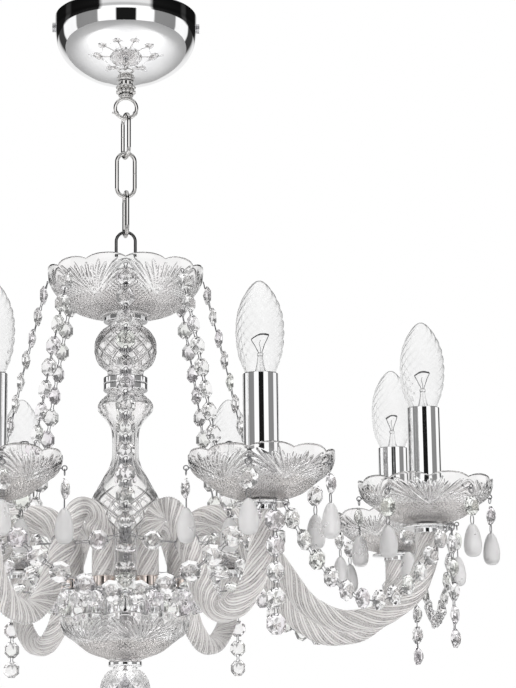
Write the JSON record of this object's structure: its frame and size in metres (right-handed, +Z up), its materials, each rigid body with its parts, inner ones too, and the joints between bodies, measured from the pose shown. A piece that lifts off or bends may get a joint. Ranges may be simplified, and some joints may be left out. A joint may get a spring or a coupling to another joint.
{
  "type": "crystal chandelier",
  "caption": "Hanging crystal chandelier with rope-twisted glass arms, scalloped glass bowls, chrome candle tubes, bead strings and frosted drops on a short chain.",
  "frame": {"origin": "middle of the ceiling bracket, on the ceiling plane", "axes": "+Z up into the ceiling, along the stem; -Y is the side seen in the picture, +X to its right"},
  "size_m": [0.581, 0.581, 0.6],
  "materials": {
    "steel": "zinc plated, satin",
    "chrome": "polished chrome",
    "clear_glass": "clear pressed and cut glass",
    "ribbed_glass": "clear rope-twisted glass",
    "crystal": "clear cut crystal",
    "frosted_glass": "frosted white glass drop under a clear cut octagon",
    "bulb_glass": "clear twisted candle bulb",
    "holder_plastic": "white moulded thermoplastic"
  },
  "bodies": {
    "ceiling_fixing": {"ceiling_bracket": "steel", "canopy_side_screws": "steel", "ring_nut": "steel", "canopy_cup": "chrome", "canopy_collar": "chrome", "hanging_ring": "chrome", "cord_bush": "holder_plastic", "terminal_block": "holder_plastic"},
    "chain_link_1": {"link_1": "chrome"},
    "chain_link_2": {"link_2": "chrome"},
    "chain_link_3": {"link_3": "chrome"},
    "chandelier": {"centre_rod": "steel", "tip_nipples": "steel", "bail": "chrome", "bail_nut": "chrome", "upper_ring": "chrome", "ring_pair": "chrome", "hub_body": "chrome", "hub_cover": "chrome", "arm_ferrules": "chrome", "lower_ring": "chrome", "finial_nut": "chrome", "tip_plates": "chrome", "candle_tubes": "chrome", "pendant_pins": "chrome", "string_wires": "chrome", "glass_dome": "clear_glass", "top_dish": "clear_glass", "glass_ball": "clear_glass", "glass_column": "clear_glass", "lower_dish": "clear_glass", "foot_ball": "clear_glass", "bobeches": "clear_glass", "glass_arm_1": "ribbed_glass", "glass_arm_2": "ribbed_glass", "glass_arm_3": "ribbed_glass", "glass_arm_4": "ribbed_glass", "glass_arm_5": "ribbed_glass", "glass_arm_6": "ribbed_glass", "glass_arm_7": "ribbed_glass", "glass_arm_8": "ribbed_glass", "string_crystals": "crystal", "pendants_fixed": "frosted_glass", "lamp_holders": "holder_plastic"},
    "bulb_body_1": {"bulb_1": "bulb_glass"},
    "bulb_body_2": {"bulb_2": "bulb_glass"},
    "bulb_body_3": {"bulb_3": "bulb_glass"},
    "bulb_body_4": {"bulb_4": "bulb_glass"},
    "bulb_body_5": {"bulb_5": "bulb_glass"},
    "bulb_body_6": {"bulb_6": "bulb_glass"},
    "bulb_body_7": {"bulb_7": "bulb_glass"},
    "bulb_body_8": {"bulb_8": "bulb_glass"},
    "pendant_body_1": {"pendant_1": "frosted_glass"},
    "pendant_body_2": {"pendant_2": "frosted_glass"},
    "pendant_body_3": {"pendant_3": "frosted_glass"},
    "pendant_body_4": {"pendant_4": "frosted_glass"},
    "pendant_body_5": {"pendant_5": "frosted_glass"},
    "pendant_body_6": {"pendant_6": "frosted_glass"},
    "pendant_body_7": {"pendant_7": "frosted_glass"},
    "pendant_body_8": {"pendant_8": "frosted_glass"}
  },
  "joints": [
    {"name": "link_1_swing", "type": "hinge", "parent": "ceiling_fixing", "child": "chain_link_1", "pos_m": [0, 0, -0.08955], "axis": [1, 0, 0], "range_deg": [-25, 25]},
    {"name": "link_2_swing", "type": "hinge", "parent": "chain_link_1", "child": "chain_link_2", "pos_m": [0, 0, -0.1239], "axis": [-0.342, 0.9397, 0], "range_deg": [-25, 25]},
    {"name": "link_3_swing", "type": "hinge", "parent": "chain_link_2", "child": "chain_link_3", "pos_m": [0, 0, -0.15805], "axis": [1, 0, 0], "range_deg": [-25, 25]},
    {"name": "bail_swing", "type": "hinge", "parent": "chain_link_3", "child": "chandelier", "pos_m": [0, 0, -0.1922], "axis": [-0.1736, 0.9848, 0], "range_deg": [-25, 25]},
    {"name": "bulb_1_lift", "type": "slide", "parent": "chandelier", "child": "bulb_body_1", "axis": [0, 0, 1], "range_m": [0, 0.03]},
    {"name": "bulb_2_lift", "type": "slide", "parent": "chandelier", "child": "bulb_body_2", "axis": [0, 0, 1], "range_m": [0, 0.03]},
    {"name": "bulb_3_lift", "type": "slide", "parent": "chandelier", "child": "bulb_body_3", "axis": [0, 0, 1], "range_m": [0, 0.03]},
    {"name": "bulb_4_lift", "type": "slide", "parent": "chandelier", "child": "bulb_body_4", "axis": [0, 0, 1], "range_m": [0, 0.03]},
    {"name": "bulb_5_lift", "type": "slide", "parent": "chandelier", "child": "bulb_body_5", "axis": [0, 0, 1], "range_m": [0, 0.03]},
    {"name": "bulb_6_lift", "type": "slide", "parent": "chandelier", "child": "bulb_body_6", "axis": [0, 0, 1], "range_m": [0, 0.03]},
    {"name": "bulb_7_lift", "type": "slide", "parent": "chandelier", "child": "bulb_body_7", "axis": [0, 0, 1], "range_m": [0, 0.03]},
    {"name": "bulb_8_lift", "type": "slide", "parent": "chandelier", "child": "bulb_body_8", "axis": [0, 0, 1], "range_m": [0, 0.03]},
    {"name": "pendant_1_swing", "type": "hinge", "parent": "chandelier", "child": "pendant_body_1", "pos_m": [0.1416, -0.25953, -0.4257], "axis": [0.8526, -0.5225, 0], "range_deg": [-30, 30]},
    {"name": "pendant_2_swing", "type": "hinge", "parent": "chandelier", "child": "pendant_body_2", "pos_m": [0.28364, -0.08339, -0.4257], "axis": [0.9724, 0.2334, 0], "range_deg": [-30, 30]},
    {"name": "pendant_3_swing", "type": "hinge", "parent": "chandelier", "child": "pendant_body_3", "pos_m": [0.25953, 0.1416, -0.4257], "axis": [0.5225, 0.8526, 0], "range_deg": [-30, 30]},
    {"name": "pendant_4_swing", "type": "hinge", "parent": "chandelier", "child": "pendant_body_4", "pos_m": [0.08339, 0.28364, -0.4257], "axis": [-0.2334, 0.9724, 0], "range_deg": [-30, 30]},
    {"name": "pendant_5_swing", "type": "hinge", "parent": "chandelier", "child": "pendant_body_5", "pos_m": [-0.1416, 0.25953, -0.4257], "axis": [-0.8526, 0.5225, 0], "range_deg": [-30, 30]},
    {"name": "pendant_6_swing", "type": "hinge", "parent": "chandelier", "child": "pendant_body_6", "pos_m": [-0.28364, 0.08339, -0.4257], "axis": [-0.9724, -0.2334, 0], "range_deg": [-30, 30]},
    {"name": "pendant_7_swing", "type": "hinge", "parent": "chandelier", "child": "pendant_body_7", "pos_m": [-0.25953, -0.1416, -0.4257], "axis": [-0.5225, -0.8526, 0], "range_deg": [-30, 30]},
    {"name": "pendant_8_swing", "type": "hinge", "parent": "chandelier", "child": "pendant_body_8", "pos_m": [-0.08339, -0.28364, -0.4257], "axis": [0.2334, -0.9724, 0], "range_deg": [-30, 30]}
  ]
}
